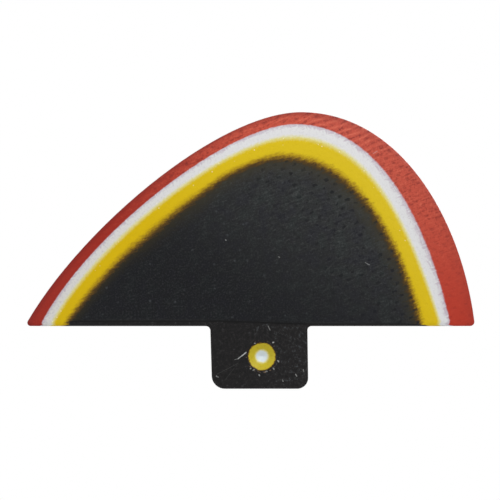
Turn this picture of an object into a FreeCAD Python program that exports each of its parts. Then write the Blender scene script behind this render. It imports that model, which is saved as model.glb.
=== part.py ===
import FreeCAD, Part
import math
import os
import re
import Sketcher

# A surfboard keel fin with one centre tab, foiled on both faces from a solid glass-fibre panel.
# The panel is laid up from coloured plies, so each line where two colours meet is a line of
# equal thickness. The foil is drawn the way it is sanded: one closed contour for each ply line.
#
# Frame, in millimetres: the origin is at the middle of the tab's length and thickness, on the
# plane where the blade's base seats. X points aft, Z points from the tab to the tip, and the
# face with the screw dimple looks along -Y.

sizes = {
    # outline of the blade
    "base_front": (71.2, "tab centre to the corner where leading edge meets base"),
    "base_rear": (65.8, "tab centre to the corner where trailing edge meets base"),
    "blade_height": (65.1, "base to the highest point of the tip"),
    "peak_aft": (12.9, "tab centre to the highest point of the tip"),
    "front_angle": (59.7, "degrees between base and leading edge"),
    "rear_angle": (97.4, "the same at the trailing edge, turned from aft"),
    "front_corner": (1.0, "radius of the front corner of the base"),
    "rear_corner": (1.3, "radius of the rear corner of the base"),
    # reach of the handles of the outline's two curves, as shares of the spans they shape
    "outline_low_front": (0.536, "leading edge, at the base"),
    "outline_high_front": (0.298, "leading edge, at the tip"),
    "outline_high_rear": (0.556, "trailing edge, at the tip"),
    "outline_low_rear": (0.527, "trailing edge, at the base"),
    # the same for the lines inside the outline
    "line_low_front": (0.525, "front side, at the base"),
    "line_high_front": (0.261, "front side, at the top"),
    "line_high_rear": (0.536, "rear side, at the top"),
    "line_low_rear": (0.528, "rear side, at the base"),
    # round of the blade's edge
    "edge_half": (0.5, "half thickness where the round ends"),
    "edge_front": (0.3, "length of the round inwards from the leading edge"),
    "edge_rear": (0.6, "length of the round inwards from the trailing edge"),
    "edge_top": (0.4, "length of the round inwards from the tip"),
    # plies, from the middle of the panel outwards; the rest is black
    "red_core": (3.2, "red core, whole thickness"),
    "white_ply": (0.85, "white ply, each side"),
    "yellow_ply": (0.95, "yellow ply, each side"),
    # bands of colour that the foil lays open, measured inwards from the last line
    "red_front": (4.5, "width of the red band at the front of the base"),
    "red_rear": (7.4, "at the rear of the base"),
    "red_top": (3.65, "at the top"),
    "red_rake": (1.8, "its highest point lies this far ahead of the last"),
    "red_front_angle": (61.8, "degrees between base and its front side"),
    "red_rear_angle": (102.5, "the same at its rear side, turned from aft"),
    "white_front": (3.4, "width of the white band at the front of the base"),
    "white_rear": (3.0, "at the rear of the base"),
    "white_top": (4.1, "at the top"),
    "white_rake": (1.0, "its highest point lies this far ahead of the last"),
    "white_front_angle": (61.0, "degrees between base and its front side"),
    "white_rear_angle": (107.8, "the same at its rear side, turned from aft"),
    "yellow_front": (4.4, "width of the yellow band at the front of the base"),
    "yellow_rear": (5.45, "at the rear of the base"),
    "yellow_top": (5.95, "at the top"),
    "yellow_rake": (2.9, "its highest point lies this far ahead of the last"),
    "yellow_front_angle": (54.7, "degrees between base and its front side"),
    "yellow_rear_angle": (105.8, "the same at its rear side, turned from aft"),
    # tab
    "tab_thickness": (7.0, "tab, whole thickness"),
    "tab_length": (29.55, "tab, where it meets the base"),
    "tab_depth": (19.05, "base to the bottom of the tab"),
    "tab_front_lean": (1.7, "degrees by which the front side leans aft"),
    "tab_rear_lean": (0.8, "degrees by which the rear side leans aft"),
    "tab_front_corner": (4.0, "radius of the front bottom corner"),
    "tab_rear_corner": (3.3, "radius of the rear bottom corner"),
    "tab_front_root": (1.4, "radius between front side and base"),
    "tab_rear_root": (1.2, "radius between rear side and base"),
    "tab_in_blade": (3.0, "how far the tab's own block reaches up into the blade"),
    # cheeks: along the base both faces are cut back to the tab's thickness
    "cheek_step": (0.75, "depth of the step from the blade to the tab, each side"),
    "cheek_front": (1.35, "height of the cheeks ahead of the tab"),
    "cheek_rear": (0.5, "height of the cheeks behind the tab"),
    "cheek_fall": (22.0, "length over which the height changes"),
    "cheek_slope": (50.0, "degrees by which the step leans back"),
    "face_break": (0.4, "width of the bevel that breaks the edges of cheeks and tab"),
    # dimple for the set screw
    "dimple_aft": (0.95, "tab centre to the dimple's axis"),
    "dimple_below": (9.2, "base to the dimple's axis"),
    "dimple_mouth": (9.0, "diameter at the tab's face"),
    "dimple_angle": (135.0, "degrees across the cone"),
}

# The black field rises from the yellow line to the flat of the panel in three more lines. Each
# steps in from the last by shares of that line's reach to the front, rear and top, and its
# highest point moves ahead by a share of the front reach. Then come the share of the black ply
# that it has risen through and its angle at the rear of the base, in degrees.
black_lines = {
    "Slope": (0.06, 0.18, 0.12, 0.04, 0.53, 108),
    "Crown": (0.09, 0.34, 0.24, 0.10, 0.86, 116),
    "Flat": (0.12, 0.52, 0.35, 0.18, 1.00, 128),
}
round_angles = (0, 45, 90)   # degrees round the edge, from its middle, at which it is drawn
bevel_share = 0.2            # one more line lies this far along from the round to the red line
clear = 1.0                  # how far a cutter reaches past what it cuts

point = FreeCAD.Vector
origin = point(0, 0, 0)
across = point(0, 1, 0)
up = point(0, 0, 1)

start = {name: size for name, (size, note) in sizes.items()}
doc = FreeCAD.newDocument("KeelFin")
sheet = doc.addObject("Spreadsheet::Sheet", "Sizes")
for row, (name, (size, note)) in enumerate(sizes.items(), start=1):
    sheet.set(f"A{row}", str(size))
    sheet.setAlias(f"A{row}", name)
    sheet.set(f"B{row}", note)
doc.recompute()

blade = doc.addObject("PartDesign::Body", "Blade")
tab = doc.addObject("PartDesign::Body", "Tab")


def bind(thing, path, formula):
    """Bind a property to a formula in which sizes stand under their own names."""
    cells = re.sub(r"[a-z]\w*", lambda word: ("Sizes." if word[0] in sizes else "") + word[0], formula)
    thing.setExpression(path, cells)


def limit(sketch, kind, name, formula, near, *places):
    """Add one dimension to a sketch, starting near its size, name it and bind it."""
    number = sketch.addConstraint(Sketcher.Constraint(kind, *places, near))
    sketch.renameConstraint(number, name)
    bind(sketch, f"Constraints.{name}", formula)


def pin(sketch, name, formulas, near, *place):
    """Bind both coordinates of a point of a sketch."""
    limit(sketch, "DistanceX", f"{name}_x", formulas[0], near.x, -1, 1, *place)
    limit(sketch, "DistanceY", f"{name}_y", formulas[1], near.y, -1, 1, *place)


def tie(sketch, kind, *all_places):
    """Add one plain constraint of a kind for each of the places given."""
    sketch.addConstraint([Sketcher.Constraint(kind, *places) for places in all_places])


def origin_plane(body, role):
    """One of a body's own three planes."""
    return next(plane for plane in body.Origin.OriginFeatures if plane.Role == role)


def new_sketch(body, name, role, offset="0"):
    """A sketch on one of a body's own planes, moved along that plane's normal."""
    sketch = body.newObject("Sketcher::SketchObject", name)
    sketch.AttachmentSupport = [(origin_plane(body, role), "")]
    sketch.MapMode = "FlatFace"
    bind(sketch, "AttachmentOffset.Base.z", offset)
    return sketch


def polygon(sketch, corners):
    """Draw a closed loop of lines through corners given as (formulas, near)."""
    count = len(corners)
    for index in range(count):
        near, next_near = corners[index][1], corners[(index + 1) % count][1]
        sketch.addGeometry(Part.LineSegment(near, next_near), False)
    tie(sketch, "Coincident", *[(index, 2, (index + 1) % count, 1) for index in range(count)])
    for index, (formulas, near) in enumerate(corners):
        pin(sketch, f"corner_{index}", formulas, near, index, 1)


def arc(centre, radius, first, last):
    """An arc of a circle between two angles in radians."""
    return Part.ArcOfCircle(Part.Circle(centre, up, radius), first, last)


def contour_sides(name, depth, reach, angles, handles):
    """The two curves of one line of equal thickness, at a depth from the middle of the panel.

    A side leaves the base at its angle, beyond the round of the corner, and arrives level at
    the top. Its two inner poles lie on these two directions, as far out as its handles say.
    """
    sketch = new_sketch(blade, name, "XZ_Plane", depth)
    front, rear, top, peak = reach
    low_front, high_front, high_rear, low_rear = handles
    sides = {
        "front": (f"-({front})", f"front_corner / tan({angles[0]} / 2)", angles[0], low_front,
                  f"{peak} - {high_front} * ({peak} + {front})"),
        "rear": (f"{rear}", f"rear_corner / tan(90 - {angles[1]} / 2)", angles[1], low_rear,
                 f"{peak} + {high_rear} * ({rear} - ({peak}))"),
    }
    near_corner = {"front": -start["base_front"], "rear": start["base_rear"]}
    near_shares = ((1, 0), (0.9, 0.5), (0.5, 1), (0, 1))
    for side, (corner, corner_run, angle, low_share, high_pole) in sides.items():
        poles = [
            (f"{corner} + {corner_run} * cos({angle})", f"{corner_run} * sin({angle})"),
            (f"{corner} + {low_share} * ({top}) * cos({angle})", f"{low_share} * ({top}) * sin({angle})"),
            (high_pole, top),
            (peak, top),
        ]
        near = [
            point(near_corner[side] * share, start["blade_height"] * rise) for share, rise in near_shares]
        curve = Part.BSplineCurve()
        curve.buildFromPolesMultsKnots(near, [4, 4], [0, 1], False, 3)
        number = sketch.addGeometry(curve, False)
        first_pole = sketch.GeometryCount
        sketch.exposeInternalGeometry(number)
        for index, (formulas, place) in enumerate(zip(poles, near)):
            pin(sketch, f"{side}_{index}", formulas, place, first_pole + index, 3)
    return sketch


def drawn_shapes(sketch, attribute):
    """The numbers of a sketch's own shapes, no construction, that have an attribute."""
    return [
        number for number, shape in enumerate(sketch.Geometry)
        if hasattr(shape, attribute) and not sketch.getConstruction(number)]


def contour_base(sketch):
    """Close a contour whose sides are solved, with two round corners and the base."""
    front_side, rear_side = drawn_shapes(sketch, "getPoles")
    down, full = 1.5 * math.pi, 2 * math.pi
    arcs = []
    for side, radius in ((front_side, start["front_corner"]), (rear_side, start["rear_corner"])):
        foot, handle = sketch.Geometry[side].getPoles()[:2]
        aside = (handle - foot).normalize().cross(up)
        centre = foot + aside * (radius if side == front_side else -radius)
        to_foot = math.atan2(foot.y - centre.y, foot.x - centre.x)
        arcs.append(arc(centre, radius, *((to_foot, down) if side == front_side else (down, to_foot + full))))
    ends = [shape.Center - across * shape.Radius for shape in arcs]
    base, front, rear = (sketch.GeometryCount + index for index in range(3))
    sketch.addGeometry([Part.LineSegment(*ends)] + arcs, False)
    tie(sketch, "PointOnObject", (base, 1, -1))
    tie(sketch, "Horizontal", (base,))
    tie(sketch, "Coincident", (front, 1, front_side, 1), (rear, 2, rear_side, 1))
    tie(sketch, "Tangent", (front, 2, base, 1), (base, 2, rear, 1))
    limit(sketch, "Radius", "front_round", "front_corner", start["front_corner"], front)
    limit(sketch, "Radius", "rear_round", "rear_corner", start["rear_corner"], rear)


def draw_contours():
    """Every contour of one face of the blade, from the middle plane out to the flat."""
    places = ("low_front", "high_front", "high_rear", "low_rear")
    outline_handles = [f"outline_{place}" for place in places]
    line_handles = [f"line_{place}" for place in places]
    outline_angles = ("front_angle", "rear_angle")
    drawn = []
    for angle in round_angles:
        inwards = f"(1 - cos({angle}))"
        reach = (
            f"base_front - edge_front * {inwards}",
            f"base_rear - edge_rear * {inwards}",
            f"blade_height - edge_top * {inwards}",
            "peak_aft")
        drawn.append(contour_sides(
            f"Round{angle}", f"edge_half * sin({angle})", reach, outline_angles, outline_handles))

    reach = (
        f"base_front - edge_front - {bevel_share} * (red_front - edge_front)",
        f"base_rear - edge_rear - {bevel_share} * (red_rear - edge_rear)",
        f"blade_height - edge_top - {bevel_share} * (red_top - edge_top)",
        f"peak_aft - {bevel_share} * red_rake")
    depth = f"edge_half + {bevel_share} * (red_core / 2 - edge_half)"
    drawn.append(contour_sides("Bevel", depth, reach, outline_angles, outline_handles))

    reach = ["base_front", "base_rear", "blade_height", "peak_aft"]
    depth = "red_core / 2"
    for band, next_ply in (("red", " + white_ply"), ("white", " + yellow_ply"), ("yellow", "")):
        ends = (f"{band}_front", f"{band}_rear", f"{band}_top", f"{band}_rake")
        reach = [f"{old} - {end}" for old, end in zip(reach, ends)]
        angles = (f"{band}_front_angle", f"{band}_rear_angle")
        drawn.append(contour_sides(band.capitalize() + "Line", depth, reach, angles, line_handles))
        depth += next_ply

    black_ply = f"(tab_thickness / 2 + cheek_step - ({depth}))"
    for name, (front, rear, top, rake, risen, rear_angle) in black_lines.items():
        reach = [
            f"({reach[0]}) * (1 - {front})",
            f"({reach[1]}) * (1 - {rear})",
            f"({reach[2]}) * (1 - {top})",
            f"{reach[3]} - {rake} * ({reach[0]})"]
        angles = ("yellow_front_angle", f"{rear_angle}")
        drawn.append(contour_sides(name, f"{depth} + {risen} * {black_ply}", reach, angles, line_handles))
    doc.recompute()
    for sketch in drawn:
        contour_base(sketch)
    doc.recompute()
    return drawn


def arc_poles(shape):
    """The four poles of a cubic curve that follows an arc of a circle."""
    first, last = shape.FirstParameter, shape.LastParameter
    handle = shape.Radius * 4 / 3 * math.tan((last - first) / 4)
    begin, end = shape.value(first), shape.value(last)
    return [begin, begin + shape.tangent(first)[0] * handle, end - shape.tangent(last)[0] * handle, end]


def runs(sketch):
    """The poles of a contour's curved runs: front side, rear side, front corner, rear corner."""
    sides = [sketch.Geometry[number].getPoles() for number in drawn_shapes(sketch, "getPoles")]
    corners = [arc_poles(sketch.Geometry[number]) for number in drawn_shapes(sketch, "Radius")]
    return [[sketch.Placement.multVec(pole) for pole in poles] for poles in sides + corners]


def skin(rows, stations):
    """A smooth surface through one run of every contour, and the paths of its four poles.

    The paths leave the middle plane square to it, so that the two faces of the blade meet in
    a round edge, and they end level on the flat.
    """
    square_speed, level_speed = 0.6, 2.5
    paths = []
    for track in zip(*rows):
        onto_flat = track[-1] - track[-2]
        onto_flat.y = 0
        path = Part.BSplineCurve()
        path.interpolate(
            Points=list(track), Parameters=stations, Scale=False,
            InitialTangent=across * -square_speed,
            FinalTangent=onto_flat.normalize() * level_speed)
        paths.append(path)
    surface = Part.BSplineSurface()
    surface.buildFromPolesMultsKnots(
        [path.getPoles() for path in paths],
        [4, 4], paths[0].getMultiplicities(), [0, 1], paths[0].getKnots(), False, False, 3, 3)
    return surface.toShape(), paths


def curve_edge(poles):
    """The edge of one run."""
    curve = Part.BezierCurve()
    curve.setPoles(poles)
    return curve.toShape()


def flat_face(edges):
    """The plane face inside a loop of edges given in any order."""
    return Part.Face(Part.Wire(Part.__sortEdges__(edges)))


def foil_solid(contours):
    """The foiled blade: smooth skins through the contours, the two flats and the base."""
    rows = [runs(sketch) for sketch in contours]
    stations = [0.0]
    for near, far in zip(rows, rows[1:]):
        steps = [(near[run][pole] - far[run][pole]).Length for run, pole in ((0, 0), (0, 3), (1, 0))]
        stations.append(stations[-1] + math.sqrt(sum(steps) / len(steps)))
    skins = [skin([row[run] for row in rows], stations) for run in range(len(rows[0]))]
    front_corner, rear_corner = rows[-1][2:]
    flat_base = Part.makeLine(front_corner[-1], rear_corner[0])
    flat = flat_face([curve_edge(poles) for poles in rows[-1]] + [flat_base])
    base_edges = [skins[2][1][-1].toShape(), flat_base, skins[3][1][0].toShape()]
    base = flat_face(base_edges + [edge.mirror(origin, across) for edge in base_edges])
    half = [face for face, paths in skins] + [flat]
    shell = Part.Shell(half + [face.mirror(origin, across) for face in half] + [base])
    shell.sewShape()
    return Part.Solid(shell)


def add_feature(body, kind, name, **properties):
    """Add a feature to a body and set its properties."""
    feature = body.newObject(f"PartDesign::{kind}", name)
    for prop, setting in properties.items():
        setattr(feature, prop, setting)
    doc.recompute()
    return feature


def cut_cheeks(foil):
    """Cut the cheek and break the base's long edge on one side, and mirror both."""
    line = new_sketch(blade, "CheekLine", "XZ_Plane", "tab_thickness / 2")
    ahead, behind, below = f"-base_front - {clear}", f"base_rear + {clear}", f"-{clear}"
    far_ahead, far_behind, half_fall = -start["base_front"], start["base_rear"], start["cheek_fall"] / 2
    polygon(line, [
        ((ahead, below), point(far_ahead, -1)),
        ((ahead, "cheek_front"), point(far_ahead, 1)),
        (("-cheek_fall / 2", "cheek_front"), point(-half_fall, 1)),
        (("cheek_fall / 2", "cheek_rear"), point(half_fall, 1)),
        ((behind, "cheek_rear"), point(far_behind, 1)),
        ((behind, below), point(far_behind, -1)),
    ])
    cheek = add_feature(blade, "Pocket", "Cheek", Profile=line, Type="Length", Reversed=True)
    bind(cheek, "Length", f"cheek_step + {clear}")
    bind(cheek, "TaperAngle", "cheek_slope")

    line = new_sketch(blade, "EdgeLine", "YZ_Plane")
    face = -start["tab_thickness"] / 2
    polygon(line, [
        (("face_break - tab_thickness / 2", "0"), point(face + 0.5, 0)),
        (("face_break - tab_thickness / 2", f"-{clear}"), point(face + 0.5, -1)),
        ((f"-tab_thickness / 2 - {clear}", f"-{clear}"), point(face - 1, -1)),
        ((f"-tab_thickness / 2 - {clear}", "face_break"), point(face - 1, 0.5)),
        (("-tab_thickness / 2", "face_break"), point(face, 0.5)),
    ])
    edge = add_feature(blade, "Pocket", "BaseEdge", Profile=line, Type="ThroughAll", SideType="Symmetric")

    both = add_feature(
        blade, "Mirrored", "Cheeks", Originals=[cheek, edge],
        MirrorPlane=(origin_plane(blade, "XZ_Plane"), [""]))
    blade.Tip = both
    doc.recompute()
    if not cheek.Shape.Volume < foil.Shape.Volume:
        raise RuntimeError("the cheek cut nothing")
    if not both.Shape.Volume < edge.Shape.Volume < cheek.Shape.Volume:
        raise RuntimeError("the base's edge or the far cheek cut nothing")


def make_tab():
    """The tab: its outline to full thickness, its rims broken, and the screw dimple sunk in."""
    line = new_sketch(tab, "TabLine", "XZ_Plane")
    half, deep, top = start["tab_length"] / 2, start["tab_depth"], start["tab_in_blade"]
    low_front, low_rear = start["tab_front_corner"], start["tab_rear_corner"]
    root_front, root_rear = start["tab_front_root"], start["tab_rear_root"]
    quarter = math.pi / 2
    line.addGeometry([
        Part.LineSegment(point(-half, -root_front), point(-half, low_front - deep)),
        arc(point(low_front - half, low_front - deep), low_front, 2 * quarter, 3 * quarter),
        Part.LineSegment(point(low_front - half, -deep), point(half - low_rear, -deep)),
        arc(point(half - low_rear, low_rear - deep), low_rear, 3 * quarter, 4 * quarter),
        Part.LineSegment(point(half, low_rear - deep), point(half, -root_rear)),
        arc(point(half + root_rear, -root_rear), root_rear, quarter, 2 * quarter),
        Part.LineSegment(point(half + root_rear, 0), point(half + root_rear, top)),
        Part.LineSegment(point(half + root_rear, top), point(-half - root_front, top)),
        Part.LineSegment(point(-half - root_front, top), point(-half - root_front, 0)),
        arc(point(-half - root_front, -root_front), root_front, 0, quarter),
    ], False)
    line.addGeometry([Part.Point(point(-half, 0)), Part.Point(point(half, 0))], True)
    (front, front_low, bottom, rear_low, rear, rear_root, rear_up, lid, front_up, front_root,
     front_mark, rear_mark) = range(12)
    tie(line, "Tangent", (front_root, 1, front, 1), (front, 2, front_low, 1), (front_low, 2, bottom, 1),
        (bottom, 2, rear_low, 1), (rear_low, 2, rear, 1), (rear, 2, rear_root, 2))
    tie(line, "Coincident", (rear_root, 1, rear_up, 1), (rear_up, 2, lid, 1), (lid, 2, front_up, 1),
        (front_up, 2, front_root, 2))
    tie(line, "Horizontal", (bottom,), (lid,))
    tie(line, "Vertical", (rear_up,), (front_up,), (rear_root, 1, rear_root, 3),
        (front_root, 2, front_root, 3))
    tie(line, "PointOnObject", (rear_root, 1, -1), (front_root, 2, -1), (front_mark, 1, -1),
        (front_mark, 1, front), (rear_mark, 1, -1), (rear_mark, 1, rear))
    limit(line, "Radius", "front_corner", "tab_front_corner", low_front, front_low)
    limit(line, "Radius", "rear_corner", "tab_rear_corner", low_rear, rear_low)
    limit(line, "Radius", "front_root", "tab_front_root", root_front, front_root)
    limit(line, "Radius", "rear_root", "tab_rear_root", root_rear, rear_root)
    limit(line, "DistanceX", "ahead", "-tab_length / 2", -half, -1, 1, front_mark, 1)
    limit(line, "DistanceX", "behind", "tab_length / 2", half, -1, 1, rear_mark, 1)
    limit(line, "DistanceY", "deep", "-tab_depth", -deep, -1, 1, bottom, 1)
    limit(line, "DistanceY", "into_blade", "tab_in_blade", top, -1, 1, lid, 1)
    limit(line, "Angle", "front_lean", "tab_front_lean - 90", -quarter, front)
    limit(line, "Angle", "rear_lean", "tab_rear_lean + 90", quarter, rear)
    block = add_feature(tab, "Pad", "Block", Profile=line, SideType="Symmetric")
    bind(block, "Length", "tab_thickness")
    doc.recompute()

    flush = 0.01
    rims = [
        f"Edge{number}" for number, edge in enumerate(block.Shape.Edges, start=1)
        if edge.BoundBox.YLength < flush and edge.BoundBox.ZMax < flush]
    rim = add_feature(tab, "Chamfer", "Rim", Base=(block, rims))
    bind(rim, "Size", "face_break")
    doc.recompute()

    line = new_sketch(tab, "DimpleLine", "XY_Plane", "-dimple_below")
    face = "-tab_thickness / 2"
    axis, rim_x = "dimple_aft", "dimple_aft + dimple_mouth / 2"
    near_face, near_axis = -start["tab_thickness"] / 2, start["dimple_aft"]
    near_rim = near_axis + start["dimple_mouth"] / 2
    polygon(line, [
        ((axis, f"{face} - {clear}"), point(near_axis, near_face - clear)),
        ((axis, f"{face} + dimple_mouth / 2 / tan(dimple_angle / 2)"), point(near_axis, near_face + 1)),
        ((rim_x, face), point(near_rim, near_face)),
        ((rim_x, f"{face} - {clear}"), point(near_rim, near_face - clear)),
    ])
    dimple = add_feature(
        tab, "Groove", "Dimple", Profile=line, ReferenceAxis=(line, ["Edge1"]), Angle=360)
    if not dimple.Shape.Volume < rim.Shape.Volume < block.Shape.Volume:
        raise RuntimeError("the rims or the dimple cut nothing")


foil = doc.addObject("Part::Feature", "Foil")
foil.Shape = foil_solid(draw_contours())
foil.Placement = FreeCAD.Placement()
blade.BaseFeature = foil
doc.recompute()
cut_cheeks(foil)
make_tab()

fin = doc.addObject("Part::Fuse", "Fin")
fin.Label = "fin"
fin.Base = blade
fin.Tool = tab
fin.Refine = True
fin.Placement = FreeCAD.Placement()
doc.recompute()

for thing in doc.Objects:
    if {"Invalid", "Error"} & set(thing.State):
        raise RuntimeError(f"{thing.Name} failed")
if fin.Shape.isNull() or not fin.Shape.isValid() or len(fin.Shape.Solids) != 1:
    raise RuntimeError("the fin isn't one valid solid")

os.makedirs("parts", exist_ok=True)
fin.Shape.exportStep(f"parts/{fin.Label}.step")
print(f"{fin.Label}: {fin.Shape.Volume / 1000:.2f} cm3, {len(fin.Shape.Faces)} faces")
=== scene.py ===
import math

import bpy
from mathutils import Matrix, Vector

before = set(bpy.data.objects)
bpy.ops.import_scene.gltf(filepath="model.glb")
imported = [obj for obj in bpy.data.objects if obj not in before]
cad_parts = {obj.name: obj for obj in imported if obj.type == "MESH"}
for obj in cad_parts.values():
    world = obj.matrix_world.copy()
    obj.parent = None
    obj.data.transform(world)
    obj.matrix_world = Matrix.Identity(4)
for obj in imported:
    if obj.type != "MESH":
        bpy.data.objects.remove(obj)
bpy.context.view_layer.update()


def addNode(tree, kind, **settings):
    node = tree.nodes.new(kind)
    for name, value in settings.items():
        setattr(node, name, value)
    return node


# joins a socket, or sets a plain value
def feed(tree, source, target):
    if isinstance(source, bpy.types.NodeSocket):
        tree.links.new(source, target)
    else:
        target.default_value = source


def feedAll(tree, node, sources):
    for source, target in zip(sources, node.inputs):
        feed(tree, source, target)
    return node.outputs[0]


def calc(tree, operation, *values):
    return feedAll(tree, addNode(tree, "ShaderNodeMath", operation=operation), values)


def product(tree, first, *others):
    for other in others:
        first = calc(tree, "MULTIPLY", first, other)
    return first


def total(tree, first, *others):
    for other in others:
        first = calc(tree, "ADD", first, other)
    return first


def vectorCalc(tree, operation, *values, output=0):
    node = addNode(tree, "ShaderNodeVectorMath", operation=operation)
    feedAll(tree, node, values)
    return node.outputs[output]


def scaleVector(tree, vector, factor):
    node = addNode(tree, "ShaderNodeVectorMath", operation="SCALE")
    feed(tree, vector, node.inputs[0])
    feed(tree, factor, node.inputs["Scale"])
    return node.outputs[0]


def stretch(tree, vector, x, y, z):
    return vectorCalc(tree, "MULTIPLY", vector, (x, y, z))


# goes smoothly from outLow to outHigh while value goes from low to high
def ramp(tree, value, low, high, outLow=0.0, outHigh=1.0):
    node = addNode(tree, "ShaderNodeMapRange", interpolation_type="SMOOTHSTEP")
    return feedAll(tree, node, (value, low, high, outLow, outHigh))


# 1 between low and high, fading out over soft on both sides
def band(tree, value, low, high, soft):
    rising = ramp(tree, value, low - soft, low)
    falling = ramp(tree, value, high, high + soft, 1.0, 0.0)
    return product(tree, rising, falling)


def mixColour(tree, factor, a, b):
    node = addNode(tree, "ShaderNodeMix", data_type="RGBA")
    for source, number in ((factor, 0), (a, 6), (b, 7)):
        feed(tree, source, node.inputs[number])
    return node.outputs[2]


# lays coats over the base colour, each a factor and a colour
def layered(tree, base, *coats):
    for factor, coat in coats:
        base = mixColour(tree, factor, base, coat)
    return base


def colourRamp(tree, factor, stops):
    node = addNode(tree, "ShaderNodeValToRGB")
    elements = node.color_ramp.elements
    for place, colour in stops[1:-1]:
        elements.new(place)
    for element, (place, colour) in zip(elements, stops):
        element.position = place
        element.color = colour
    feed(tree, factor, node.inputs[0])
    return node.outputs[0]


# fractal noise round 0, with size grains to a unit of the vector
def grain(tree, vector, size=1.0, detail=2.0, rough=0.5):
    node = addNode(tree, "ShaderNodeTexNoise")
    feed(tree, vector, node.inputs["Vector"])
    node.inputs["Scale"].default_value = size
    node.inputs["Detail"].default_value = detail
    node.inputs["Roughness"].default_value = rough
    return calc(tree, "SUBTRACT", node.outputs["Fac"], 0.5)


# scattered round specks, 1 inside; with uneven each has its own strength
def specks(tree, vector, size, radius, uneven=False, **settings):
    node = addNode(tree, "ShaderNodeTexVoronoi", **settings)
    feed(tree, vector, node.inputs["Vector"])
    node.inputs["Scale"].default_value = size
    inside = ramp(tree, node.outputs["Distance"], radius * size * 0.3, radius * size, 1.0, 0.0)
    if uneven:
        inside = product(tree, inside, ramp(tree, node.outputs["Color"], 0.4, 1.0))
    return inside


# a colour as a picture's numbers give it, made linear
def sRgb(red, green, blue):
    return [((part / 255 + 0.055) / 1.055) ** 2.4 for part in (red, green, blue)] + [1.0]


def newGroup(name, inputs, outputs):
    group = bpy.data.node_groups.new(name, "ShaderNodeTree")
    for label, (kind, value) in inputs.items():
        socket = group.interface.new_socket(label, in_out="INPUT", socket_type="NodeSocket" + kind)
        socket.default_value = value
    for label in outputs:
        group.interface.new_socket(label, in_out="OUTPUT", socket_type="NodeSocketFloat")
    return group, addNode(group, "NodeGroupInput").outputs, addNode(group, "NodeGroupOutput").inputs


def placeGroup(tree, group, **values):
    node = addNode(tree, "ShaderNodeGroup", node_tree=group)
    for name, value in values.items():
        feed(tree, value, node.inputs[name])
    return node.outputs


# Plain weave in the XZ plane, its Place in mm. Turned and scaled to threads, knuckle =
# cos(pi u) cos(pi v) is 1 where the thread along u lies on top and -1 where the other does.
# Row is 1 along the middle of each thread that runs along u, 0 between two of them. Fibre is
# noise drawn out along the top thread, Hair along u only. Pit is a short dash along u where
# that thread dives under.
def clothWeave():
    group, given, result = newGroup(
        "clothWeave", {"Place": ("Vector", (0, 0, 0)), "Pitch": ("Float", 1.9), "Turn": ("Float", 0.0),
                       "Waver": ("Float", 0.5)}, ("Row", "Fibre", "Hair", "Pit"))
    flat = stretch(group, given["Place"], 1, 0, 1)
    bend = addNode(group, "ShaderNodeTexNoise")
    feed(group, flat, bend.inputs["Vector"])
    bend.inputs["Scale"].default_value = 0.16
    bend.inputs["Detail"].default_value = 1.0
    off = vectorCalc(group, "SUBTRACT", bend.outputs["Color"], (0.5, 0.5, 0.5))
    bent = vectorCalc(group, "ADD", flat, scaleVector(group, off, given["Waver"]))
    turned = addNode(group, "ShaderNodeVectorRotate", rotation_type="Y_AXIS")
    feed(group, bent, turned.inputs["Vector"])
    feed(group, given["Turn"], turned.inputs["Angle"])
    threads = scaleVector(group, turned.outputs[0], calc(group, "DIVIDE", 1.0, given["Pitch"]))
    axes = addNode(group, "ShaderNodeSeparateXYZ")
    feed(group, threads, axes.inputs[0])
    waves = [calc(group, "COSINE", product(group, axes.outputs[axis], math.pi)) for axis in "XZ"]
    row = calc(group, "ABSOLUTE", waves[1])
    knuckle = product(group, *waves)
    drawn, packed = 0.6, 3.2   # the noise is longer along a thread than across it
    along = grain(group, stretch(group, threads, drawn, 1, packed), 1.0, 3.0, 0.65)
    crosswise = grain(group, stretch(group, threads, packed, 1, drawn), 1.0, 3.0, 0.65)
    fibre = total(group, product(group, along, ramp(group, knuckle, -0.4, 0.4)),
                  product(group, crosswise, ramp(group, knuckle, -0.4, 0.4, 1.0, 0.0)))
    size = product(group, grain(group, threads, 1.3), 1.5)
    long, short = (total(group, calc(group, "ABSOLUTE", wave), size) for wave in waves)
    pit = product(group, ramp(group, long, 0.3, 0.8), ramp(group, short, 0.7, 1.05),
                  calc(group, "GREATER_THAN", knuckle, 0.0))
    for name, value in (("Row", row), ("Fibre", fibre), ("Hair", along), ("Pit", pit)):
        feed(group, value, result[name])
    return group


# A worn line from Start to End in the XZ plane, all in mm. Ragged is the noise at its edge.
def wornLine():
    group, given, result = newGroup(
        "wornLine", {"Place": ("Vector", (0, 0, 0)), "Start": ("Vector", (0, 0, 0)),
                     "End": ("Vector", (0, 0, 0)), "Width": ("Float", 0.3), "Ragged": ("Float", 0.0)},
        ("Mask",))
    flat = stretch(group, given["Place"], 1, 0, 1)
    run = vectorCalc(group, "SUBTRACT", given["End"], given["Start"])
    reach = vectorCalc(group, "SUBTRACT", flat, given["Start"])
    share = calc(group, "DIVIDE", vectorCalc(group, "DOT_PRODUCT", reach, run, output=1),
                 vectorCalc(group, "DOT_PRODUCT", run, run, output=1))
    share = calc(group, "MAXIMUM", calc(group, "MINIMUM", share, 1.0), 0.0)
    gap = vectorCalc(group, "DISTANCE", reach, scaleVector(group, run, share), output=1)
    gap = total(group, gap, product(group, given["Ragged"], given["Width"]))
    core, brim = (product(group, given["Width"], part) for part in (0.2, 0.7))
    feed(group, ramp(group, gap, core, brim, 1.0, 0.0), result["Mask"])
    return group


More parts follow.
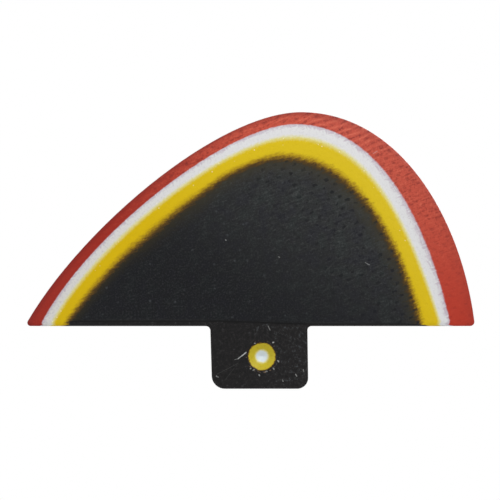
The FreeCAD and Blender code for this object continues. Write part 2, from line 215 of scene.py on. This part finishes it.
# glass cloth and resin in coloured plies, laid open by the foil
laminate = {
    "redToWhite": 1.6,             # the plies' borders, mm from the middle of the panel
    "whiteToYellow": 2.43,
    "yellowToBlack": 3.52,
    "tabFace": 3.5,                # mm from the middle, as are the cheeks
    "rimFrom": 3.06,               # from this depth the broken edges under the seat stay black
    "edgeBreak": 0.4,              # mm
    "seatSlack": 0.005,            # up to here a height in mm counts as the seat plane
    "dimple": (0.95, -9.2, 4.6),   # x, z and radius, mm
    "shoulderAhead": (-11.0, 1.35),    # x and height of the undercut above the cheeks, mm
    "shoulderBehind": (11.0, 0.5),
    "shoulderLean": 0.839,         # mm out for each mm up
    "threadPitch": 1.92,           # mm
    "threadTurn": 20.0,            # degrees
    "threadWaver": 1.6,            # mm
    "redDeep": sRgb(152, 42, 31),
    "redWarm": sRgb(170, 35, 20),  # the deep red towards the trailing edge
    "redPale": sRgb(188, 79, 62),  # where it is sanded most and the painted sheen is strongest
    "redStripe": sRgb(216, 118, 92),
    # dark red of the pores, also the painted shade round the red's edge
    "redPoreAndShade": sRgb(104, 32, 32),
    "white": sRgb(219, 219, 220),
    "whiteDull": sRgb(214, 212, 208),  # towards the leading edge
    "whiteSpeckle": sRgb(188, 185, 190),
    "lilac": sRgb(188, 172, 185),  # where hairs of the red ply stain the white one
    "lemon": sRgb(219, 211, 138),  # where the white ply thins out over the yellow one
    "yellow": sRgb(213, 179, 10),
    "yellowPale": sRgb(213, 185, 27),
    "yellowStain": sRgb(190, 152, 20),
    "glint": sRgb(244, 238, 200),
    # from yellow to black through the worn edge
    "wornTones": [(0.12, sRgb(150, 116, 24)), (0.4, sRgb(82, 60, 24)), (0.65, sRgb(40, 36, 24))],
    "wornSandedAndSheen": sRgb(57, 54, 44),
    "black": sRgb(15, 16, 19),
    "hazeAndSheen": sRgb(44, 45, 45),      # sanded black where the cloth shows, lightened by painted sheen
    "streak": sRgb(92, 93, 92),
    "grit": sRgb(80, 82, 84),
    "fleck": sRgb(96, 100, 104),
    # patches with a violet or green cast
    "castTones": [(0.4, sRgb(64, 64, 84)), (0.5, sRgb(44, 45, 45)), (0.62, sRgb(56, 78, 74))],
    "pit": sRgb(14, 15, 18),
    # painted shade for the corner under the shoulder
    "cornerShade": sRgb(6, 6, 7),
    "tabTones": [(0.2, sRgb(16, 16, 16)), (0.45, sRgb(25, 24, 25)), (0.56, sRgb(33, 31, 30)),
                 (0.8, sRgb(66, 70, 74))],
    "dimpleWhite": sRgb(214, 224, 229),
    "dimpleYellow": sRgb(195, 177, 46),
    "dimpleBurr": sRgb(166, 134, 28),
    "dimpleChip": sRgb(150, 124, 100),
    "mark": sRgb(196, 198, 196),
    "roughness": 0.42,
    "specular": 0.12,
    "bumpStrength": 0.4,
    "bumpDistance": 0.00006,       # m
}

# marks on the face with the dimple: start x, z and end x, z in mm, width in mm, strength
marks = [
    # blade
    (32.4, 19.3, 33.6, 18.6, 0.25, 0.3), (6.0, 21.1, 6.3, 20.9, 0.3, 0.25),
    (34.8, 52.5, 36.0, 53.2, 0.3, 0.22), (-10.1, 26.2, -10.0, 26.1, 0.35, 0.4),
    # gouge beside the dimple
    (-3.9, -8.0, -5.1, -9.0, 0.35, 0.85), (-5.1, -9.0, -6.3, -9.9, 0.27, 0.65),
    (-6.3, -9.9, -7.3, -10.2, 0.2, 0.3),
    # nicks on the tab
    (2.8, 0.1, 3.4, -1.2, 0.25, 0.35), (-1.1, -5.3, -1.3, -5.2, 0.35, 0.5),
    (4.3, -5.0, 4.5, -4.9, 0.4, 0.7), (5.8, -10.5, 6.0, -10.8, 0.4, 0.6),
    (4.4, -12.8, 4.6, -13.0, 0.4, 0.45), (-1.5, -13.3, -1.7, -13.4, 0.4, 0.4),
    (-2.4, -12.8, -2.6, -12.9, 0.4, 0.4), (0.1, -14.8, 0.2, -15.0, 0.4, 0.5),
    (2.2, -13.7, 2.5, -13.8, 0.4, 0.3), (11.2, -14.6, 11.5, -15.2, 0.35, 0.4),
    (7.2, -16.4, 7.4, -16.8, 0.35, 0.3), (13.5, -13.2, 13.6, -13.7, 0.35, 0.3),
    (-12.9, -15.2, -12.4, -15.5, 0.35, 0.35),
    # long faint scratches at the tab's lower corner
    (-12.7, -14.6, -6.3, -11.3, 0.16, 0.05), (-10.3, -16.4, -7.5, -12.8, 0.16, 0.04),
]


# What the material knows of the point that it shades, as sockets: its place in mm, the cloth,
# the noises, how far it is sanded and lit by painted sheen, how deep in the panel it lies and what it is a
# part of.
def surface(tree):
    centreX, centreZ, radius = laminate["dimple"]
    tabFace = laminate["tabFace"]
    coordinates = addNode(tree, "ShaderNodeTexCoord").outputs
    place = scaleVector(tree, coordinates["Object"], 1000.0)   # mm
    plane = stretch(tree, place, 1, 0, 1)
    axes = addNode(tree, "ShaderNodeSeparateXYZ")
    feed(tree, place, axes.inputs[0])
    x, y, z = (axes.outputs[axis] for axis in "XYZ")
    weave = placeGroup(tree, clothWeave(), Place=place, Pitch=laminate["threadPitch"],
                       Turn=math.radians(laminate["threadTurn"]), Waver=laminate["threadWaver"])

    # the other face has no dimple, so all of it counts as far off
    farOff = product(tree, calc(tree, "GREATER_THAN", y, 0.0), 20.0)
    fromDimple = vectorCalc(tree, "DISTANCE", plane, (centreX, 0, centreZ), output=1)
    fromDimple = total(tree, fromDimple, farOff)
    onDimple = ramp(tree, fromDimple, radius - 0.1, radius, 1.0, 0.0)

    # the broken edge of the base keeps the colour above it
    level = calc(tree, "ABSOLUTE", y)
    broken = calc(tree, "MAXIMUM", calc(tree, "SUBTRACT", laminate["edgeBreak"], z), 0.0)
    broken = product(tree, broken, calc(tree, "GREATER_THAN", z, laminate["seatSlack"]))
    depth = calc(tree, "MINIMUM", total(tree, level, broken), tabFace)
    depth = calc(tree, "MAXIMUM", depth, level)
    ragged = product(tree, grain(tree, plane, 2.2, 3.0, 0.8), onDimple, 0.24)
    depth = total(tree, depth, ragged)

    # the tab's faces and the cheeks, and the broken edges from the seat plane down
    flat = product(tree, band(tree, depth, tabFace - 0.02, tabFace + 0.02, 0.04),
                   ramp(tree, z, 1.3, 1.6, 1.0, 0.0))
    rim = product(tree, calc(tree, "LESS_THAN", z, laminate["seatSlack"]),
                  calc(tree, "GREATER_THAN", depth, laminate["rimFrom"]),
                  calc(tree, "GREATER_THAN", fromDimple, radius))
    return {
        "place": place, "plane": plane, "x": x, "y": y, "z": z,
        "row": weave["Row"], "fibre": weave["Fibre"], "hair": weave["Hair"], "pit": weave["Pit"],
        "slow": grain(tree, plane, 0.22, 3.0),
        "speckle": grain(tree, plane, 1.4, 3.0, 0.7),
        "fine": grain(tree, plane, 1.25, 3.0, 0.8),
        # sanding and painted sheen, most towards the upper right, where the light comes from
        "sanded": ramp(tree, total(tree, product(tree, x, 0.55), z), 0, 64),
        "depth": depth, "fromDimple": fromDimple, "onDimple": onDimple,
        "onTab": calc(tree, "MAXIMUM", flat, rim),
        "onBlade": calc(tree, "GREATER_THAN", z, 0.0),
    }


# striped by the cloth, with pores where threads cross, and with painted shade round its edge, where the
# rounded edge turns from the light
def redCore(tree, here):
    x, z, sanded, fine = (here[name] for name in ("x", "z", "sanded", "fine"))
    deep = mixColour(tree, ramp(tree, x, -40, 50), laminate["redDeep"], laminate["redWarm"])
    # painted sheen with sanding: the red is paler towards the top and the upper right
    paled = product(tree, sanded, ramp(tree, z, 5, 45, 0.65, 1.0), ramp(tree, x, -35, 5, 0.85, 1.0))
    rows = product(tree, calc(tree, "SUBTRACT", 0.75, here["row"]), ramp(tree, z, 46, 58),
                   ramp(tree, x, 0, 15), 0.28)
    stripe = total(tree, here["hair"], product(tree, fine, 1.1), rows)
    lively = product(tree, ramp(tree, sanded, 0.0, 0.8, 0.35, 1.0), ramp(tree, z, 5, 45, 0.2, 1.0))
    pale = product(tree, ramp(tree, stripe, 0.0, 0.4, 0.0, 0.5), lively)
    dark = product(tree, ramp(tree, stripe, -0.38, 0.03, 0.9, 0.0), lively)
    pores = product(tree, here["pit"], ramp(tree, fine, -0.15, 0.1),
                    ramp(tree, sanded, 0.0, 0.5, 0.1, 0.6), ramp(tree, z, 15, 50, 0.35, 1.0))
    # painted shade along the thin outer edge of the red, most towards the leading edge
    darkened = product(tree, ramp(tree, here["depth"], 0.35, 1.1, 0.5, 0.0),
                      ramp(tree, x, 10, 45, 1.0, 0.4))
    red = layered(tree, deep, (paled, laminate["redPale"]), (pale, laminate["redStripe"]))
    for factor in (dark, pores, darkened):
        red = mixColour(tree, factor, red, laminate["redPoreAndShade"])
    return red


# thin, and stained by hairs of the red core
def whitePly(tree, here):
    dull = ramp(tree, here["x"], -65, -5, 1.0, 0.0)
    atRed = laminate["redToWhite"]
    hairy = total(tree, here["depth"], product(tree, here["fibre"], 1.1))
    speckled = product(tree, ramp(tree, here["speckle"], -0.02, 0.22),
                       ramp(tree, here["x"], -60, -5, 0.9, 0.4))
    return layered(tree, laminate["white"], (dull, laminate["whiteDull"]),
                   (ramp(tree, hairy, atRed, atRed + 0.34, 0.85, 0.0), laminate["lilac"]),
                   (speckled, laminate["whiteSpeckle"]), (here["onDimple"], laminate["dimpleWhite"]))


# clouded on the blade, paler towards the upper right by sanding and painted sheen, and burred in the dimple
def yellowPly(tree, here):
    darkened = ramp(tree, here["speckle"], 0.0, 0.3, 0.0, 0.35)
    burred = mixColour(tree, ramp(tree, here["fine"], 0.0, 0.25, 0.0, 0.6), laminate["dimpleYellow"],
                       laminate["dimpleBurr"])
    return layered(tree, laminate["yellow"], (here["sanded"], laminate["yellowPale"]),
                   (darkened, laminate["yellowStain"]), (here["onDimple"], burred))


# red, white and yellow by depth, with glints of glass along the yellow ply's edge
def colouredPlies(tree, here):
    atRed, atYellow = laminate["redToWhite"], laminate["whiteToYellow"]
    waver = total(tree, here["depth"], product(tree, here["fibre"], 0.12))
    bared = calc(tree, "MAXIMUM", ramp(tree, waver, atRed - 0.04, atRed + 0.07), here["onDimple"])
    soft = total(tree, waver, product(tree, here["speckle"], 0.25))
    glint = product(tree, specks(tree, here["place"], 0.55, 0.28),
                    band(tree, here["depth"], atYellow - 0.13, atYellow + 0.32, 0.15),
                    here["onBlade"], 0.7)
    return layered(tree, redCore(tree, here), (bared, whitePly(tree, here)),
                   (ramp(tree, soft, atYellow - 0.2, atYellow + 0.06), laminate["lemon"]),
                   (ramp(tree, soft, atYellow - 0.04, atYellow + 0.24), yellowPly(tree, here)),
                   (glint, laminate["glint"]))


# How far inside the black skin's border a point lies, in widths of that border. The border is
# hairy, wider towards the leading edge, and the skin is foiled away more on the blade's shoulder.
def insideSkin(tree, here):
    x, z, onBlade, onDimple = (here[name] for name in ("x", "z", "onBlade", "onDimple"))
    spread = product(tree, ramp(tree, x, -55, 30, 0.62, 0.36), ramp(tree, z, 10, 45, 1.0, 1.25), onBlade)
    spread = calc(tree, "MAXIMUM", spread, 0.22)
    worn = total(tree, product(tree, here["hair"], 0.8), product(tree, here["fine"], 0.7))
    worn = product(tree, worn, ramp(tree, x, -50, 25, 0.65, 1.0), ramp(tree, z, 20, 48, 1.0, 0.75))
    worn = total(tree, worn, product(tree, here["pit"], ramp(tree, x, 0, 40, 0.0, 0.15)))
    worn = product(tree, worn, total(tree, onDimple, 1.0))
    inside = calc(tree, "SUBTRACT", here["depth"], laminate["yellowToBlack"])
    inside = total(tree, inside, product(tree, onDimple, 0.12))
    inside = calc(tree, "SUBTRACT", inside, product(tree, band(tree, x, -34, -18, 7), onBlade, 0.09))
    return total(tree, calc(tree, "DIVIDE", inside, spread), worn)


# brown where the black skin is worn through to the yellow ply, paler towards the upper right by sanding and
# painted sheen
def wornEdge(tree, here, inside):
    edge = colourRamp(tree, total(tree, inside, 0.5), laminate["wornTones"])
    hazedAndSheen = product(tree, ramp(tree, inside, -0.1, 0.3), here["sanded"])
    return mixColour(tree, hazedAndSheen, edge, laminate["wornSandedAndSheen"])


# hazed by sanding and lightened by painted sheen towards the upper right, so that the cloth shows in
# streaks, grit and pits
def blackSkin(tree, here, pitted):
    x, z, fine, slow, sanded = (here[name] for name in ("x", "z", "fine", "slow", "sanded"))
    streak = total(tree, product(tree, here["hair"], 0.9), product(tree, fine, 0.9),
                   product(tree, slow, 0.4))
    shows = ramp(tree, sanded, 0.0, 0.8, 0.3, 1.0)
    pale = product(tree, ramp(tree, streak, 0.02, 0.3, 0.0, 0.32), shows)
    dark = product(tree, ramp(tree, streak, -0.3, 0.02, 0.95, 0.0), shows)
    gritty = product(tree, ramp(tree, grain(tree, here["plane"], 1.9, 2.0, 0.7), -0.05, 0.3),
                     ramp(tree, sanded, 0.1, 0.7, 0.25, 0.36))
    cast = colourRamp(tree, total(tree, slow, 0.5), laminate["castTones"])
    upright = feedAll(tree, addNode(tree, "ShaderNodeCombineXYZ"), (x, z))
    flecked = product(tree, specks(tree, upright, 0.25, 0.55, uneven=True, voronoi_dimensions="2D"),
                      ramp(tree, fine, -0.15, 0.1), ramp(tree, x, -10, 30, 0.4, 0.1))
    return layered(tree, laminate["black"], (sanded, laminate["hazeAndSheen"]), (pale, laminate["streak"]),
                   (gritty, laminate["grit"]), (dark, laminate["black"]), (pitted, laminate["pit"]),
                   (product(tree, shows, 0.06), cast), (flecked, laminate["fleck"]))


# unsanded black, scuffed
def tabSkin(tree, here):
    scuffed = total(tree, product(tree, grain(tree, here["plane"], 0.7, 5.0, 0.85), 1.5),
                    product(tree, here["fine"], 1.1), ramp(tree, here["x"], -14, 14, 0.38, 0.48))
    return colourRamp(tree, scuffed, laminate["tabTones"])


# The undercut above the cheeks, found as the plane that leans out by shoulderLean from the
# shoulder's height. Gives its mask and that of the painted shade in its corner, where the undercut faces
# down, away from the light.
def shoulderMasks(tree, here):
    (aheadX, aheadHeight), (behindX, behindHeight) = laminate["shoulderAhead"], laminate["shoulderBehind"]
    height = feedAll(tree, addNode(tree, "ShaderNodeMapRange"),
                     (here["x"], aheadX, behindX, aheadHeight, behindHeight))
    rise = calc(tree, "SUBTRACT", here["z"], height)
    slope = total(tree, product(tree, rise, laminate["shoulderLean"]), laminate["tabFace"])
    off = calc(tree, "ABSOLUTE", calc(tree, "SUBTRACT", here["depth"], slope))
    shoulder = product(tree, ramp(tree, off, 0.03, 0.1, 1.0, 0.0), band(tree, rise, -0.2, 0.9, 0.1))
    return shoulder, product(tree, shoulder, band(tree, rise, 0.0, 0.35, 0.12), 0.9)


# the dimple's mouth has chipped, most at its lower left
def chippedMouth(tree, here):
    radius = laminate["dimple"][2]
    lowerLeft = total(tree, here["x"], product(tree, here["z"], 1.6))
    return product(tree, band(tree, here["fromDimple"], radius + 0.02, radius + 0.4, 0.12),
                   ramp(tree, here["fine"], 0.04, 0.16), ramp(tree, lowerLeft, -19.0, -12.0, 0.7, 0.15),
                   here["onTab"])


# all the marks, as deep as their strengths, and only on the face with the dimple
def markMask(tree, here):
    line = wornLine()
    ragged = product(tree, grain(tree, here["plane"], 3.0), 1.2)
    mask = 0.0
    for startX, startZ, endX, endZ, width, strength in marks:
        mark = placeGroup(tree, line, Place=here["place"], Start=(startX, 0, startZ),
                          End=(endX, 0, endZ), Width=width, Ragged=ragged)
        mask = calc(tree, "MAXIMUM", mask, product(tree, mark["Mask"], strength))
    return product(tree, mask, calc(tree, "LESS_THAN", here["y"], -0.8))


def laminateMaterial():
    material = bpy.data.materials.new("laminate")
    material.use_nodes = True
    tree = material.node_tree
    shader = tree.nodes["Principled BSDF"]
    here = surface(tree)

    pitted = product(tree, here["pit"], ramp(tree, grain(tree, here["plane"], 0.35), -0.14, 0.1, 0.35, 1.0),
                     ramp(tree, total(tree, here["x"], product(tree, here["z"], 0.5)), 5, 35), 0.85)
    inside = insideSkin(tree, here)
    # the second mask is a painted shade line in the shoulder's corner
    shoulder, shadedCorner = shoulderMasks(tree, here)
    black = mixColour(tree, here["onTab"], blackSkin(tree, here, pitted), tabSkin(tree, here))
    skin = calc(tree, "MAXIMUM", ramp(tree, inside, -0.05, 0.72), here["onTab"])
    skin = calc(tree, "MAXIMUM", skin, shoulder)
    pittedEdge = product(tree, pitted, band(tree, inside, 0.1, 0.6, 0.3), 0.6)
    marked = markMask(tree, here)
    colour = layered(tree, colouredPlies(tree, here),
                     (ramp(tree, inside, -0.78, -0.2), wornEdge(tree, here, inside)), (skin, black),
                     (pittedEdge, laminate["pit"]), (shadedCorner, laminate["cornerShade"]),
                     (chippedMouth(tree, here), laminate["dimpleChip"]), (marked, laminate["mark"]))
    feed(tree, colour, shader.inputs["Base Color"])

    rough = total(tree, product(tree, here["slow"], 0.1), laminate["roughness"],
                  product(tree, here["onTab"], 0.1))
    feed(tree, rough, shader.inputs["Roughness"])
    shader.inputs["Specular IOR Level"].default_value = laminate["specular"]
    bump = addNode(tree, "ShaderNodeBump")
    bump.inputs["Distance"].default_value = laminate["bumpDistance"]
    bump.inputs["Strength"].default_value = laminate["bumpStrength"]
    height = calc(tree, "SUBTRACT", here["fibre"], product(tree, here["pit"], 0.8))
    height = calc(tree, "SUBTRACT", product(tree, height, here["onBlade"]), marked)
    feed(tree, height, bump.inputs["Height"])
    feed(tree, bump.outputs[0], shader.inputs["Normal"])
    return material


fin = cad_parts["fin"]
fin.data.materials.clear()
fin.data.materials.append(laminateMaterial())
print("fin: laminate material")


# soft studio light over a pale floor, in m and W
stage = {
    "floorBelow": 0.3,        # under the seat plane
    "floorSize": 6.0,
    "floorTone": 0.6,
    "floorRoughness": 0.9,
    "floorGlow": 0.75,        # only as the camera sees it
    "ambient": 0.25,
    "aim": (0.0, 0.0, 0.02),
    "keyPlace": (0.42, -0.55, 0.5),
    "keySize": 0.4,
    "keyPower": 4.3,
    "topPlace": (0.0, -0.12, 0.7),
    "topSize": 0.5,
    "topPower": 1.8,
    "fillPlace": (-0.75, -0.5, 0.1),
    "fillSize": 0.5,
    "fillPower": 2.2,
    "backPlace": (0.3, 0.75, 0.35),   # only for the views from behind
    "backSize": 0.5,
    "backPower": 6.0,
}


def areaLight(name):
    lamp = bpy.data.lights.new(name, "AREA")
    lamp.shape = "SQUARE"
    lamp.size = stage[name + "Size"]
    lamp.energy = stage[name + "Power"]
    light = bpy.data.objects.new(name, lamp)
    place = Vector(stage[name + "Place"])
    light.location = place
    light.rotation_euler = (Vector(stage["aim"]) - place).to_track_quat("-Z", "Y").to_euler()
    light.visible_camera = False
    bpy.context.collection.objects.link(light)


# 1 for rays from the camera, also by way of gloss or glass
def seenRays(tree):
    rays = addNode(tree, "ShaderNodeLightPath").outputs
    through = calc(tree, "MAXIMUM", rays["Is Glossy Ray"], rays["Is Transmission Ray"])
    return calc(tree, "MAXIMUM", rays["Is Camera Ray"], through)


def paleFloor():
    material = bpy.data.materials.new("paleFloor")
    material.use_nodes = True
    tree = material.node_tree
    shader = tree.nodes["Principled BSDF"]
    shader.inputs["Base Color"].default_value = [stage["floorTone"]] * 3 + [1]
    shader.inputs["Roughness"].default_value = stage["floorRoughness"]
    shader.inputs["Specular IOR Level"].default_value = 0.0
    shader.inputs["Emission Color"].default_value = (1, 1, 1, 1)
    feed(tree, product(tree, seenRays(tree), stage["floorGlow"]), shader.inputs["Emission Strength"])
    return material


def makeStage():
    world = bpy.data.worlds.new("studio")
    bpy.context.scene.world = world
    world.use_nodes = True
    tree = world.node_tree
    sky = tree.nodes["Background"]
    sky.inputs["Color"].default_value = (1, 1, 1, 1)
    feed(tree, ramp(tree, seenRays(tree), 0.0, 1.0, stage["ambient"], 1.0), sky.inputs["Strength"])

    half, low = stage["floorSize"] / 2, -stage["floorBelow"]
    corners = [(-half, -half, low), (half, -half, low), (half, half, low), (-half, half, low)]
    mesh = bpy.data.meshes.new("floor")
    mesh.from_pydata(corners, [], [(0, 1, 2, 3)])
    mesh.materials.append(paleFloor())
    floor = bpy.data.objects.new("floor", mesh)
    bpy.context.collection.objects.link(floor)
    for name in ("key", "top", "fill", "back"):
        areaLight(name)


# square to the fin, and far off for a flat perspective
view = {
    "centre": (-0.00268, 0.02313),   # x and z, m
    "width": 0.15216,                # m, of the frame at the middle of the blade
    "distance": 2.5,
    "sensor": 36.0,                  # mm
    "nearest": 0.05,
}


def makeCamera():
    camera = bpy.data.cameras.new("camera")
    camera.sensor_width = view["sensor"]
    camera.lens = view["sensor"] * view["distance"] / view["width"]
    camera.clip_start = view["nearest"]
    viewer = bpy.data.objects.new("camera", camera)
    centreX, centreZ = view["centre"]
    viewer.location = (centreX, -view["distance"], centreZ)
    viewer.rotation_euler = (math.radians(90), 0, 0)
    bpy.context.collection.objects.link(viewer)
    bpy.context.scene.camera = viewer


makeStage()
makeCamera()
bpy.context.scene.view_settings.view_transform = "Standard"
print("stage, lights and camera")
